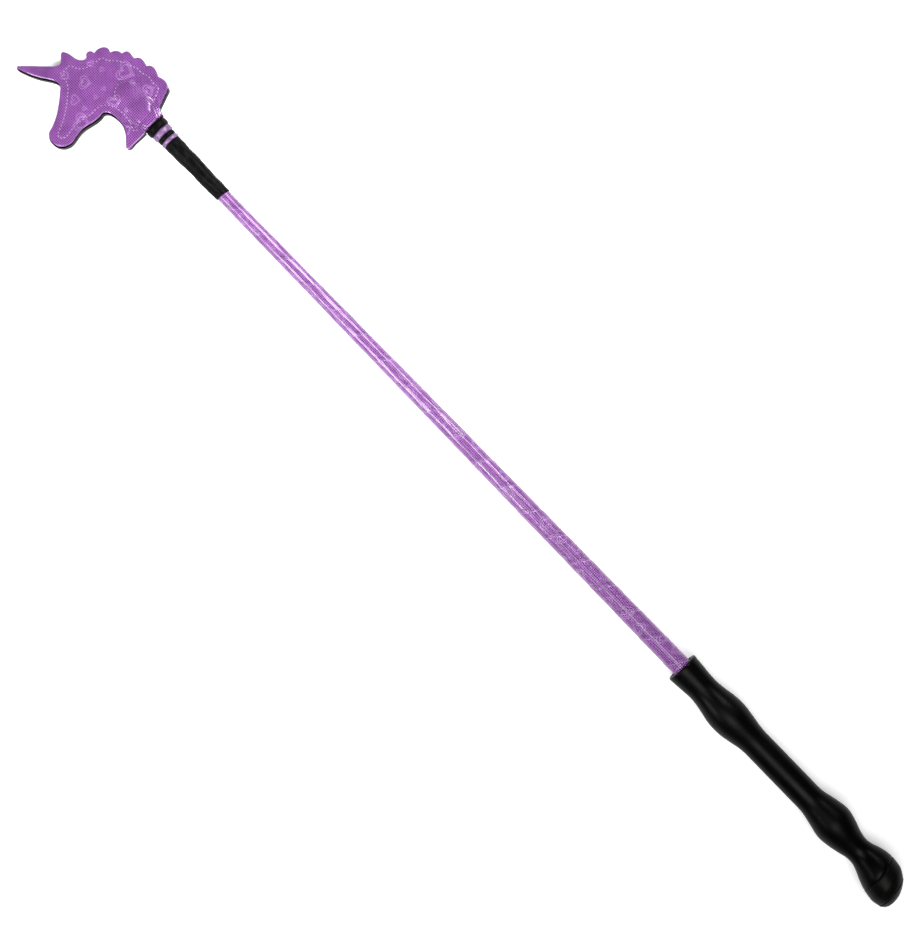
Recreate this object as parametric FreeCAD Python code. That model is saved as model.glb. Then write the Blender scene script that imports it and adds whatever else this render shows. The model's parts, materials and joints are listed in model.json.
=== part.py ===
import FreeCAD, Part
import math
import os

# A riding crop that lies on its pommel and the tip of its flapper.  Millimetres.
# +X runs along the shaft from the hand to the flapper, +Y across it, +Z up, and the origin is the middle of
# the grip barrel, on the shaft's axis.  A hinge at the flapper's root stands for the bending of its leather.

# ---- driving dimensions ------------------------------------------------------------------------------------

# Handle: a moulded rubber grip with a finger swell on each side of a straight barrel, and a tilted pommel.
BARREL_R = 8.0
BARREL_HALF = 20.0
MOUTH_X = 77.4
MOUTH_R = 9.4
FRONT_WAIST_R = 8.3
SWELL_R = 10.65
REAR_SWELL_R = 11.25
SEAM_X = -76.0
SEAM_Y = 1.47
SEAM_R = 11.85
HEAD_R = 12.1
HEAD_TILT = 6.5
CAP_END_X = -91.95
CAP_END_Y = 4.6
CAP_END_R = 5.7
BADGE_R = 4.8
BADGE_THICK = 1.0
BADGE_PROUD = 0.3
CORE_R = 5.2
CORE_BORE_R = 3.3
CORE_FRONT_X = 60.0
CORE_REAR_X = -61.0
PLUG_REAR_X = -74.0
BUSH_R = 7.0
BUSH_FRONT_X = 74.0
MOUTH_BORE_R = 6.05
SCREW_R = 1.5
SCREW_HEAD_R = 2.6
SCREW_Y = 2.7
SCREW_HEAD_X = -88.6

# Shaft: a tapered rod in a padding sleeve, wound with one embossed strip that makes a plain cone here.
WRAP_REAR_X = 62.0
WRAP_FRONT_X = 445.0
WRAP_REAR_R = 6.0
WRAP_FRONT_R = 3.77
WRAP_THICK = 0.7
ROD_R = 3.25
ROD_TIP_R = 1.6
ROD_TIP_X = 476.0

# Binding: the sleeve, bands and rings that hold the leather tails on the rod's tip.
SLEEVE_REAR_X = 431.8
SLEEVE_FRONT_X = 471.8
SLEEVE_R = 5.15
SLEEVE_REAR_R = 4.45
REAR_RING_FRONT_X = 474.3
MIDDLE_BAND_FRONT_X = 476.8
FRONT_RING_FRONT_X = 480.6
ROOT_BAND_FRONT_X = 484.9
ROOT_BAND_R = 6.4
FRONT_RING_R = 5.9
MIDDLE_BAND_R = 5.25
REAR_RING_R = 5.35
BINDING_BORE_R = 3.9
WHIPPING_R = 2.1
WHIPPING_REAR_X = 449.0
UPPER_TAIL_REAR_X = 452.0
LOWER_TAIL_REAR_X = 447.0
TAIL_GAP = 0.4

# Flapper: two leathers over a leatherboard filler, cut to the outline of a horned pony's head.
FRONT_THICK = 0.9
FILLER_THICK = 2.6
BACK_THICK = 1.5
ROOT_CLEARANCE = 0.3
ROOT_HALF_WIDTH = 6.4
TONGUE_HALF_WIDTH = 4.5
TONGUE_RAISE = 1.2
TONGUE_REAR_U = 8.0
TONGUE_FRONT_U = 20.0
TONGUE_SKEW = -2.5
SEAM_INSET = 4.4
STITCH_PITCH = 2.7
STITCH_LENGTH = 1.9
STITCH_WIDTH = 0.6
STITCH_HEIGHT = 0.35
SEAM_REAR_U = 7.0
ARCH_R = 6.4
ARCH_HALF_ANGLE = 78.0

# ---- worked out from them ----------------------------------------------------------------------------------

FLAP_THICK = FRONT_THICK + FILLER_THICK + BACK_THICK
HALF_THICK = FLAP_THICK / 2
BACK_TOP_Z = -HALF_THICK + BACK_THICK
FRONT_BOTTOM_Z = HALF_THICK - FRONT_THICK
HINGE_X = ROOT_BAND_FRONT_X + ROOT_CLEARANCE + HALF_THICK
HORN_TIP = (73.7, 32.0)

# The flapper droops until the tip of its horn is as low as the pommel.
LOWEST_Z = -HEAD_R
DROOP = math.degrees(
    math.asin(-LOWEST_Z / math.hypot(HORN_TIP[0], HALF_THICK))
    - math.atan2(HALF_THICK, HORN_TIP[0])
)

X_AXIS = FreeCAD.Vector(1, 0, 0)
Y_AXIS = FreeCAD.Vector(0, 1, 0)
Z_AXIS = FreeCAD.Vector(0, 0, 1)


# ---- helpers -----------------------------------------------------------------------------------------------

def save(shape, node):
    shape.exportStep(os.path.join("parts", node + ".step"))
    print(node, len(shape.Solids), "solids", round(shape.Volume, 1), "mm3", shape.isValid())


def point(x, y, z=0.0):
    return FreeCAD.Vector(x, y, z)


def rod(radius, x_from, x_to, y=0.0):
    return Part.makeCylinder(radius, x_to - x_from, point(x_from, y), X_AXIS)


def cone(radius_from, radius_to, x_from, x_to):
    return Part.makeCone(radius_from, radius_to, x_to - x_from, point(x_from, 0), X_AXIS)


def spline(points):
    curve = Part.BSplineCurve()
    curve.interpolate([point(*p) for p in points])
    return curve.toShape()


def line(start, end):
    return Part.makeLine(point(*start), point(*end))


def revolved(edges):
    """A solid of revolution about the X axis, from edges that run in the XY plane at positive Y."""
    profile = Part.Wire(Part.__sortEdges__(edges))
    solid = Part.Face(profile).revolve(point(0, 0), X_AXIS, 360)
    return Part.Solid(solid) if solid.ShapeType == "Shell" else solid


def ring(x_from, x_to, outer, inner, corner):
    """A band round the binding with its outer corners rounded."""
    band = rod(outer, x_from, x_to)
    rims = [edge for edge in band.Edges if edge.Closed]
    return band.makeFillet(corner, rims).cut(rod(inner, x_from, x_to))


def wrap_radius(x):
    """Outer radius of the wound strip, which tapers evenly from the hand to the tip."""
    share = (x - WRAP_REAR_X) / (WRAP_FRONT_X - WRAP_REAR_X)
    return WRAP_REAR_R + share * (WRAP_FRONT_R - WRAP_REAR_R)


# ---- handle ------------------------------------------------------------------------------------------------

def tilted_circle(x, y, radius, tilt):
    """A circle across the handle whose plane is turned about Z; it always starts at its top."""
    circle = Part.makeCircle(radius, point(0, 0), X_AXIS)
    circle.Placement = FreeCAD.Placement(point(x, y), FreeCAD.Rotation(Z_AXIS, tilt)).multiply(circle.Placement)
    return Part.Wire(circle)


def lofted(stations):
    """A smooth solid through circles that are given as x, y, radius and tilt."""
    return Part.makeLoft([tilted_circle(*s) for s in stations], True, False)


def front_of_grip():
    """Front swell, waist and the slightly flared mouth."""
    return lofted([
        (BARREL_HALF, 0.0, BARREL_R, 0.0),
        (24.5, 0.1, 8.35, 0.0),
        (30.5, 0.3, 9.45, 0.0),
        (36.0, 0.4, 10.35, 0.0),
        (41.0, 0.4, SWELL_R, 0.0),
        (46.5, 0.4, 10.3, 0.0),
        (52.0, 0.3, 9.3, 0.0),
        (57.5, 0.15, 8.45, 0.0),
        (62.5, 0.0, FRONT_WAIST_R, 0.0),
        (69.0, 0.0, 8.8, 0.0),
        (MOUTH_X - 0.8, 0.0, MOUTH_R, 0.0),
        (MOUTH_X - 0.15, 0.0, MOUTH_R - 0.25, 0.0),
        (MOUTH_X, 0.0, MOUTH_R - 0.7, 0.0),
    ])


def rear_of_grip():
    """Rear swell, neck and the tilted head up to the cap's seam."""
    return lofted([
        (-BARREL_HALF, 0.0, BARREL_R, 0.0),
        (-24.5, -0.1, 8.3, 0.0),
        (-31.5, -0.2, 9.8, 0.0),
        (-39.5, 0.0, REAR_SWELL_R, 0.0),
        (-46.5, 0.4, 10.3, 0.0),
        (-53.0, 0.8, 8.5, 0.0),
        (-58.5, 0.6, 7.35, 1.0),
        (-63.0, 0.31, 7.74, 2.0),
        (-67.0, 0.33, 9.15, 3.2),
        (-71.5, 0.85, 10.75, 4.8),
        (SEAM_X, SEAM_Y, SEAM_R, HEAD_TILT),
    ])


def screw():
    """Cap screw: a round head under the badge and a plain shank into the rear plug."""
    neck_x = SCREW_HEAD_X + 2.0
    shank_front_x = -66.0
    head = rod(SCREW_HEAD_R, SCREW_HEAD_X, neck_x, SCREW_Y)
    return head.fuse(rod(SCREW_R, neck_x, shank_front_x, SCREW_Y)).removeSplitter()


def end_disc(radius, behind, ahead):
    """A disc across the cap's tilted end face, from behind it (inside the cap) to ahead of it."""
    disc = rod(radius, -ahead, behind)
    disc.Placement = FreeCAD.Placement(point(CAP_END_X, CAP_END_Y), FreeCAD.Rotation(Z_AXIS, HEAD_TILT))
    return disc


def end_badge():
    """A blank disc let into the cap's end face, slightly proud of it."""
    return end_disc(BADGE_R, BADGE_THICK - BADGE_PROUD, BADGE_PROUD)


def end_cap():
    """The head's rounded end: its sections lean like the seam but stack straight along the handle."""
    cap = lofted([
        (SEAM_X, SEAM_Y, SEAM_R, HEAD_TILT),
        (-78.2, 1.75, HEAD_R - 0.05, HEAD_TILT),
        (-80.7, 2.05, HEAD_R, HEAD_TILT),
        (-83.2, 2.4, HEAD_R - 0.1, HEAD_TILT),
        (-85.7, 2.8, HEAD_R - 0.9, HEAD_TILT),
        (-88.1, 3.4, HEAD_R - 2.1, HEAD_TILT),
        (-90.2, 4.05, HEAD_R - 3.9, HEAD_TILT),
        (CAP_END_X, CAP_END_Y, CAP_END_R, HEAD_TILT),
    ])
    screw_passage = rod(SCREW_HEAD_R, CAP_END_X - BADGE_R, SCREW_HEAD_X, SCREW_Y)
    return cap.cut(end_badge()).cut(screw()).cut(screw_passage)


def grip():
    bores = [
        rod(CORE_R, PLUG_REAR_X, CORE_FRONT_X),
        rod(BUSH_R, CORE_FRONT_X, BUSH_FRONT_X),
        rod(MOUTH_BORE_R, BUSH_FRONT_X, MOUTH_X),
        screw(),
    ]
    moulding = rod(BARREL_R, -BARREL_HALF, BARREL_HALF).fuse([front_of_grip(), rear_of_grip()])
    for bore in bores:
        moulding = moulding.cut(bore)
    return moulding.removeSplitter()


def front_bush():
    """A ring between the grip and the wound shaft that also closes the front of the core's bore."""
    ring_blank = rod(BUSH_R, CORE_FRONT_X, BUSH_FRONT_X)
    return ring_blank.cut(wrapped_cone(0.0)).cut(rod(CORE_BORE_R, CORE_FRONT_X, WRAP_REAR_X))


def handle():
    save(grip(), "grip")
    save(rod(CORE_R, CORE_REAR_X, CORE_FRONT_X).cut(rod(CORE_BORE_R, CORE_REAR_X, CORE_FRONT_X)), "grip_core")
    save(front_bush(), "front_bush")
    save(rod(CORE_R, PLUG_REAR_X, CORE_REAR_X).cut(screw()), "rear_plug")
    save(end_cap(), "end_cap")
    save(end_badge(), "end_badge")
    save(screw(), "cap_screw")


# ---- shaft -------------------------------------------------------------------------------------------------

def wrapped_cone(inset):
    """The shaft's cone at a given depth below the strip's outer face."""
    return cone(WRAP_REAR_R - inset, WRAP_FRONT_R - inset, WRAP_REAR_X, WRAP_FRONT_X)


def rod_core():
    """A straight length in the handle, then an even taper to the tip."""
    return rod(ROD_R, CORE_REAR_X, WRAP_REAR_X).fuse(
        cone(ROD_R, ROD_TIP_R, WRAP_REAR_X, ROD_TIP_X)
    ).removeSplitter()


def shaft():
    core = rod_core()
    save(core, "core_rod")
    save(wrapped_cone(WRAP_THICK).cut(core), "padding_sleeve")
    save(wrapped_cone(0.0).cut(wrapped_cone(WRAP_THICK)), "spiral_wrap")
    save(rod(WHIPPING_R, WHIPPING_REAR_X, ROD_TIP_X).cut(core), "whipping_thread")


# ---- binding -----------------------------------------------------------------------------------------------

def binding_sleeve():
    """Leather sleeve that steps down where the tails under it end."""
    round_end = 0.35
    curve = spline([
        (SLEEVE_REAR_X + round_end, SLEEVE_REAR_R),
        (UPPER_TAIL_REAR_X - 9.0, SLEEVE_REAR_R + 0.1),
        (UPPER_TAIL_REAR_X - 3.0, SLEEVE_REAR_R + 0.35),
        (UPPER_TAIL_REAR_X + 2.0, SLEEVE_R - 0.05),
        (UPPER_TAIL_REAR_X + 10.0, SLEEVE_R),
        (SLEEVE_FRONT_X - round_end, SLEEVE_R - 0.1),
    ])
    return revolved([
        line((SLEEVE_REAR_X, BINDING_BORE_R), (SLEEVE_REAR_X, SLEEVE_REAR_R - round_end)),
        line((SLEEVE_REAR_X, SLEEVE_REAR_R - round_end), (SLEEVE_REAR_X + round_end, SLEEVE_REAR_R)),
        curve,
        line((SLEEVE_FRONT_X - round_end, SLEEVE_R - 0.1), (SLEEVE_FRONT_X, SLEEVE_R - 0.1 - round_end)),
        line((SLEEVE_FRONT_X, SLEEVE_R - 0.1 - round_end), (SLEEVE_FRONT_X, BINDING_BORE_R)),
        line((SLEEVE_FRONT_X, BINDING_BORE_R), (SLEEVE_REAR_X, BINDING_BORE_R)),
    ])


def leather_tail(x_from, side):
    """Half of a leather tube round the whipping, above the rod (side 1) or below it (side -1)."""
    tube = rod(BINDING_BORE_R, x_from, ROOT_BAND_FRONT_X).cut(rod(WHIPPING_R, x_from, ROOT_BAND_FRONT_X))
    reach = 2 * BINDING_BORE_R
    low = TAIL_GAP / 2 if side > 0 else -TAIL_GAP / 2 - reach
    half = Part.makeBox(ROOT_BAND_FRONT_X - x_from, 2 * reach, reach, point(x_from, -reach, low))
    return tube.common(half)


def binding():
    save(binding_sleeve(), "binding_sleeve")
    save(leather_tail(UPPER_TAIL_REAR_X, 1), "leather_tail_upper")
    save(leather_tail(LOWER_TAIL_REAR_X, -1), "leather_tail_lower")
    save(ring(SLEEVE_FRONT_X, REAR_RING_FRONT_X, REAR_RING_R, BINDING_BORE_R, 0.9), "trim_ring_rear")
    save(ring(REAR_RING_FRONT_X, MIDDLE_BAND_FRONT_X, MIDDLE_BAND_R, BINDING_BORE_R, 0.8), "middle_band")
    save(ring(MIDDLE_BAND_FRONT_X, FRONT_RING_FRONT_X, FRONT_RING_R, BINDING_BORE_R, 1.2), "trim_ring_front")
    save(ring(FRONT_RING_FRONT_X, ROOT_BAND_FRONT_X, ROOT_BAND_R, BINDING_BORE_R, 1.3), "root_band")


# ---- flapper -----------------------------------------------------------------------------------------------
# It is drawn flat, with u along the shaft from the hinge axis and v across, and then drooped.

OUTLINE = [
    # root, under the neck, and the neck's side
    [(-2.9, -6.4), (1.5, -7.9)],
    [(1.5, -7.9), (2.9, -11.5), (5.5, -18.6)],
    [(5.5, -18.6), (6.3, -19.2), (13.6, -19.3)],
    # six tufts of the mane
    [(13.6, -19.3), (16.7, -20.4), (19.6, -20.9), (22.9, -18.6)],
    [(22.9, -18.6), (25.4, -19.3), (27.9, -19.4), (30.7, -16.9)],
    [(30.7, -16.9), (32.9, -17.0), (34.7, -17.2), (37.6, -13.8)],
    [(37.6, -13.8), (40.0, -13.3), (41.6, -11.8), (42.6, -9.6)],
    [(42.6, -9.6), (46.1, -10.1), (47.9, -8.4), (48.5, -3.2)],
    [(48.5, -3.2), (50.7, -2.7), (51.5, -1.4), (49.8, 1.3)],
    # ear
    [(49.8, 1.3), (50.3, 3.9), (52.4, 5.6), (57.1, 6.6), (61.1, 8.2)],
    [(61.1, 8.2), (61.7, 9.2), (61.1, 10.2)],
    [(61.1, 10.2), (59.1, 12.1), (57.6, 14.3), (58.3, 16.3), (60.1, 18.4)],
    # horn
    [(60.1, 18.4), (73.4, 31.2)],
    [(73.4, 31.2), HORN_TIP, (72.5, 32.3)],
    [(72.5, 32.3), (66.1, 30.0), (59.0, 26.3), (53.4, 22.8), (50.3, 22.0), (47.7, 23.1)],
    # forehead
    [(47.7, 23.1), (40.8, 31.2), (37.4, 36.4), (34.6, 43.4)],
    # muzzle and jaw
    [(34.6, 43.4), (32.5, 45.8), (28.9, 46.6), (24.3, 44.9), (21.6, 40.6), (22.0, 35.5), (22.8, 31.0),
     (21.7, 24.5), (21.3, 15.9)],
    # throat, chest spike and back to the root
    [(21.3, 15.9), (19.7, 13.9), (16.3, 12.7), (12.1, 12.3), (7.9, 12.9), (3.3, 15.5), (-1.5, 19.7)],
    [(-1.5, 19.7), (-2.6, 19.2), (-2.9, 15.5), (-3.0, 11.0), (-2.9, 6.4)],
    [(-2.9, 6.4), (-2.9, -6.4)],
]


def outline_wire(z):
    edges = [line(*stretch) if len(stretch) == 2 else spline(stretch) for stretch in OUTLINE]
    wire = Part.Wire(edges)
    wire.translate(point(0, 0, z))
    return wire


def plate(z_from, z_to):
    return Part.Face(outline_wire(z_from)).extrude(point(0, 0, z_to - z_from))


def stadium(rear_u, front_u, half_width, z):
    """A slot shape round the tongue's line, with round ends, at height z."""
    rear_top = point(rear_u, half_width, z)
    rear_bottom = point(rear_u, -half_width, z)
    front_top = point(front_u, half_width, z)
    front_bottom = point(front_u, -half_width, z)
    wire = Part.Wire([
        Part.makeLine(rear_top, front_top),
        Part.Arc(front_top, point(front_u + half_width, 0, z), front_bottom).toShape(),
        Part.makeLine(front_bottom, rear_bottom),
        Part.Arc(rear_bottom, point(rear_u - half_width, 0, z), rear_top).toShape(),
    ])
    wire.rotate(point(0, 0), Z_AXIS, TONGUE_SKEW)
    return wire


def raised(bottom_half_width, top_half_width, z_from, z_to):
    """A low bump with sloping sides over the tongue."""
    return Part.makeLoft([
        stadium(TONGUE_REAR_U, TONGUE_FRONT_U, bottom_half_width, z_from),
        stadium(TONGUE_REAR_U, TONGUE_FRONT_U, top_half_width, z_to),
    ], True, True)


def tongue_bed():
    """The part of the tongue that lies level with the filler, from the root to its round end."""
    bed = stadium(-TONGUE_REAR_U, TONGUE_FRONT_U, TONGUE_HALF_WIDTH, BACK_TOP_Z)
    return Part.Face(bed).extrude(point(0, 0, FILLER_THICK))


def tongue_bump():
    return raised(TONGUE_HALF_WIDTH, TONGUE_HALF_WIDTH - 0.8, FRONT_BOTTOM_Z, FRONT_BOTTOM_Z + TONGUE_RAISE)


def root_relief():
    """What is cut away behind the hinge axis, so that the root turns clear of the root band."""
    height = 4 * HALF_THICK
    depth = TONGUE_REAR_U + 2 * TONGUE_HALF_WIDTH
    half_width = ROOT_HALF_WIDTH + 0.3
    block = Part.makeBox(depth, 2 * half_width, height, point(-depth, -half_width, -height / 2))
    barrel = Part.makeCylinder(HALF_THICK, 2 * half_width, point(0, -half_width), Y_AXIS)
    return block.cut(barrel)


def drooped(shape):
    placed = shape.copy()
    placed.rotate(point(0, 0), Y_AXIS, DROOP)
    placed.translate(point(HINGE_X, 0))
    return placed


def stitch(u, v, direction, z):
    """One thread stitch that lies on the front leather."""
    bar = Part.makeBox(
        STITCH_LENGTH, STITCH_WIDTH, STITCH_HEIGHT, point(-STITCH_LENGTH / 2, -STITCH_WIDTH / 2)
    )
    bar.rotate(point(0, 0), Z_AXIS, direction)
    bar.translate(point(u, v, z))
    return bar


def crosses_tongue(place):
    return place.x < SEAM_REAR_U and abs(place.y) < ROOT_HALF_WIDTH


def edge_seam():
    """Stitches along the outline, set in by the seam's inset; the narrow horn and the root have none."""
    seam = outline_wire(0.0).makeOffset2D(-SEAM_INSET, 0, False, False)
    longest = max(seam.Wires, key=lambda wire: wire.Length)
    count = int(longest.Length / STITCH_PITCH)
    places = longest.discretize(Number=count + 1)[:-1]
    stitches = []
    for here, after in zip(places, places[1:] + places[:1]):
        run = after - here
        middle = (here + after) * 0.5
        if not crosses_tongue(middle):
            stitches.append(stitch(middle.x, middle.y, math.degrees(math.atan2(run.y, run.x)), HALF_THICK))
    return stitches


def arch_seam():
    """Stitches in an arch round the tongue's end."""
    count = int(math.radians(2 * ARCH_HALF_ANGLE) * ARCH_R / STITCH_PITCH) + 1
    stitches = []
    for i in range(count):
        turn = math.radians(-ARCH_HALF_ANGLE + 2 * ARCH_HALF_ANGLE * i / (count - 1))
        u = TONGUE_FRONT_U + ARCH_R * math.cos(turn)
        v = ARCH_R * math.sin(turn) + TONGUE_FRONT_U * math.sin(math.radians(TONGUE_SKEW))
        stitches.append(stitch(u, v, math.degrees(turn) + 90.0, HALF_THICK))
    return stitches


def flapper():
    relief = root_relief()
    tongue = tongue_bed().fuse(tongue_bump()).removeSplitter().cut(relief)
    back = plate(-HALF_THICK, BACK_TOP_Z).cut(relief)
    filler = plate(BACK_TOP_Z, FRONT_BOTTOM_Z).cut(tongue_bed()).cut(relief)
    cover = raised(
        TONGUE_HALF_WIDTH + 1.4, TONGUE_HALF_WIDTH - 0.4, HALF_THICK - 0.2, HALF_THICK + TONGUE_RAISE
    )
    front = plate(FRONT_BOTTOM_Z, HALF_THICK).fuse(cover).cut(tongue_bump()).cut(relief)
    save(drooped(front.removeSplitter()), "flapper_front")
    save(drooped(filler), "flapper_filler")
    save(drooped(back), "flapper_back")
    save(drooped(tongue), "tongue_core")
    save(drooped(Part.makeCompound(edge_seam())), "edge_stitching")
    save(drooped(Part.makeCompound(arch_seam())), "arch_stitching")


def main():
    os.makedirs("parts", exist_ok=True)
    print("droop", round(DROOP, 2), "degrees about the hinge axis at X", round(HINGE_X, 2))
    handle()
    shaft()
    binding()
    flapper()


main()
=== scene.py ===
# %% [markdown]
# # A riding crop, finished in Blender
#
# The crop's design comes from CAD as a fixed frame: every part is already at its place and real size.  This
# lesson gives it its looks.  The shaft is wound with an embossed strip, the grip is moulded rubber, and the
# flapper is two leathers sewn over a filler.  Each piece is modelled on its own, as by hand, and the grip,
# cap, strip, sleeve and stitches are then told which body of the frame they move with.
#
# Blender works in metres and the sizes of a crop are in millimetres, so one name, MM, turns one into the
# other.

# %% Load the frame
import json
import math

import bpy
import numpy as np
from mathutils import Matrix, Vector, noise


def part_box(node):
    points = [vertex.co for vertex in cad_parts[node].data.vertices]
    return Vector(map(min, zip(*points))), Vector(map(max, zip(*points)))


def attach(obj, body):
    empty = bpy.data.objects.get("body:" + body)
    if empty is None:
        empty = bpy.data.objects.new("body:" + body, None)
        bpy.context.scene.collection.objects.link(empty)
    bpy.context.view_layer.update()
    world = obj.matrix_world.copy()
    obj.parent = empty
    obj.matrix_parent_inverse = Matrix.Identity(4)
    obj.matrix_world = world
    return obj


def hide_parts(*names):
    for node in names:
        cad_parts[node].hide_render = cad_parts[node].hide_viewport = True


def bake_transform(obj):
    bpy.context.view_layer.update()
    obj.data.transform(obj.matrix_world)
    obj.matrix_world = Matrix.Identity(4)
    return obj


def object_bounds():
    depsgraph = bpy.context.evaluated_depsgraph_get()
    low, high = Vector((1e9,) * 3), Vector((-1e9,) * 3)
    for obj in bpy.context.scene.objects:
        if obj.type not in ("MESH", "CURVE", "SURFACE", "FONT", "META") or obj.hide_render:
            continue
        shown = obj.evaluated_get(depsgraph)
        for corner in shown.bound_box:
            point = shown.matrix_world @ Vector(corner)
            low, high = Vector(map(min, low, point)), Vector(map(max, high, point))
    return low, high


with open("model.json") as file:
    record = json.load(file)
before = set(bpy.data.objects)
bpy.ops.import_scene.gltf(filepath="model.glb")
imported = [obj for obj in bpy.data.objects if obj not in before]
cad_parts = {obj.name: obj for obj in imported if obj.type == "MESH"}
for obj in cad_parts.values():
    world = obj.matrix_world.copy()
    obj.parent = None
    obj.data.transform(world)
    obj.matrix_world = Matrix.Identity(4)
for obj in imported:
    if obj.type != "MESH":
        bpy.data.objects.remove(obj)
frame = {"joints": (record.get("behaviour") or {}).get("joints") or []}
cad_low, cad_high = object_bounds()
MM = 0.001
HINGE = Vector(frame["joints"][0]["pos_m"])
CROP, FLAPPER = "crop", "flapper"
print("CAD box", cad_low, cad_high, "hinge", HINGE)

# %% [markdown]
# ## Camera
#
# A product picture of a long thin thing is taken from straight above with a long lens, so that nothing is
# distorted.  The crop runs from corner to corner, which the camera's turn about its own axis gives.
# The lens is worked out from the width of table that it has to show.

# %% Camera
CAMERA_PLACE = (0.2399, 0.00905, 1.3)
CAMERA_TURN = math.radians(-134.185)
TABLE_SHOWN = 0.4989
SENSOR_WIDTH = 36.0

camera = bpy.data.objects.new("camera", bpy.data.cameras.new("camera"))
bpy.context.scene.collection.objects.link(camera)
camera.location = CAMERA_PLACE
camera.rotation_euler = (0, 0, CAMERA_TURN)
camera.data.sensor_width = SENSOR_WIDTH
camera.data.lens = SENSOR_WIDTH * CAMERA_PLACE[2] / TABLE_SHOWN
bpy.context.scene.camera = camera
bpy.context.scene.view_settings.view_transform = "Standard"
print("lens", round(camera.data.lens, 1), "mm")

# %% [markdown]
# ## Helpers for modelling
#
# Blender's operators act on whatever is selected, and the frame's parts are selected after loading.  So every
# step starts from nothing selected, and faces or edges are picked by their place, as a click would pick them.
# Where many points move at once, as under a sculpting brush, they are read and written as one table.

# %% Picking and moving
JOIN_MM = 0.002


def nothing_selected():
    """Leaves edit mode and deselects every object."""
    if bpy.context.object and bpy.context.object.mode != "OBJECT":
        bpy.ops.object.mode_set(mode="OBJECT")
    bpy.ops.object.select_all(action="DESELECT")


def take(piece):
    """Selects one piece alone and makes it the active one."""
    nothing_selected()
    piece.select_set(True)
    bpy.context.view_layer.objects.active = piece


def settle():
    """Applies the selected piece's place, turn and scale to its points."""
    bpy.ops.object.transform_apply(location=True, rotation=True, scale=True)


def edit(piece):
    """Goes into edit mode on one piece with all of it selected."""
    take(piece)
    bpy.ops.object.mode_set(mode="EDIT")
    bpy.ops.mesh.select_all(action="SELECT")


def pick_faces(piece, test):
    """Selects in edit mode the faces that pass the test."""
    take(piece)
    bpy.ops.object.mode_set(mode="EDIT")
    bpy.ops.mesh.select_mode(type="FACE")
    bpy.ops.mesh.select_all(action="DESELECT")
    bpy.ops.object.mode_set(mode="OBJECT")
    for face in piece.data.polygons:
        face.select = test(face)
    bpy.ops.object.mode_set(mode="EDIT")


def points_of(piece):
    """The piece's points as a table of x, y and z."""
    table = np.empty(len(piece.data.vertices) * 3)
    piece.data.vertices.foreach_get("co", table)
    return table.reshape(-1, 3)


def move_points(piece, table):
    """Writes the table back to the piece."""
    piece.data.vertices.foreach_set("co", table.ravel())
    piece.data.update()


def smoothstep(low, high, value):
    """0 below low, 1 above high and a soft step between."""
    t = np.clip((value - low) / (high - low), 0, 1)
    return t * t * (3 - 2 * t)


def close_up(piece, sharp):
    """Applies what is left to apply, joins doubles, turns faces outward and smooths all but sharp edges."""
    take(piece)
    for modifier in list(piece.modifiers):
        bpy.ops.object.modifier_apply(modifier=modifier.name)
    settle()
    edit(piece)
    bpy.ops.mesh.remove_doubles(threshold=JOIN_MM * MM)
    bpy.ops.mesh.normals_make_consistent(inside=False)
    bpy.ops.object.mode_set(mode="OBJECT")
    bpy.ops.object.shade_smooth_by_angle(angle=math.radians(sharp))
    print(piece.name, len(piece.data.polygons), "faces")


# %% [markdown]
# ## Helpers for finishes
#
# A finish here is one shader with a few nodes in front of it.  What is the same all over, such as how
# metallic it is, is set on the shader itself.  What changes from place to place comes from patterns: soft
# noise for dirt and wear, and bumps for grain.

# %% Nodes


def finish(name, **settings):
    """A new material whose shader has the given sockets set."""
    material = bpy.data.materials.new(name)
    material.use_nodes = True
    shader = material.node_tree.nodes["Principled BSDF"]
    for socket, value in settings.items():
        shader.inputs[socket.replace("_", " ")].default_value = value
    return material


def node(material, kind, inputs=None, **options):
    """Adds a node.  An input is a number or vector, or another node's output to be linked."""
    made = material.node_tree.nodes.new("ShaderNode" + kind)
    for option, value in options.items():
        setattr(made, option, value)
    for socket, value in (inputs or {}).items():
        if isinstance(value, bpy.types.NodeSocket):
            material.node_tree.links.new(value, made.inputs[socket])
        else:
            made.inputs[socket].default_value = value
    return made


def into_shader(material, socket, value):
    """Links an output to one of the shader's sockets."""
    shader = material.node_tree.nodes["Principled BSDF"]
    material.node_tree.links.new(value, shader.inputs[socket])


def own_place(material, attribute=None):
    """Where a point is on the piece: its Object coordinates, or a vector that the piece carries."""
    if attribute:
        return node(material, "Attribute", attribute_name=attribute).outputs["Vector"]
    return node(material, "TexCoord").outputs["Object"]


def stretched(material, place, scale):
    """The same place with each direction scaled."""
    return node(material, "Mapping", {"Vector": place, "Scale": scale}).outputs[0]


def cloudy(material, place, size_mm, detail, roughness=0.6):
    """Soft noise with spots of about the given size."""
    inputs = {"Vector": place, "Scale": 1000.0 / size_mm, "Detail": detail, "Roughness": roughness}
    return node(material, "TexNoise", inputs).outputs["Fac"]


def arithmetic(material, operation, *values):
    """One step of arithmetic on outputs and numbers."""
    return node(material, "Math", dict(enumerate(values)), operation=operation).outputs[0]


def spread(material, value, low, high, to_low, to_high):
    """Stretches the range low to high into to_low to to_high, and holds it there."""
    inputs = {"Value": value, "From Min": low, "From Max": high, "To Min": to_low, "To Max": to_high}
    return node(material, "MapRange", inputs).outputs[0]


def blended(material, amount, first, second):
    """A mix of two colours."""
    mixing = node(material, "Mix", {"Factor": amount}, data_type="RGBA")
    for socket, colour in (("A", first), ("B", second)):
        target = [s for s in mixing.inputs if s.name == socket and s.type == "RGBA"][0]
        if isinstance(colour, bpy.types.NodeSocket):
            material.node_tree.links.new(colour, target)
        else:
            target.default_value = (*colour, 1)
    return [s for s in mixing.outputs if s.type == "RGBA"][0]


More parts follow.
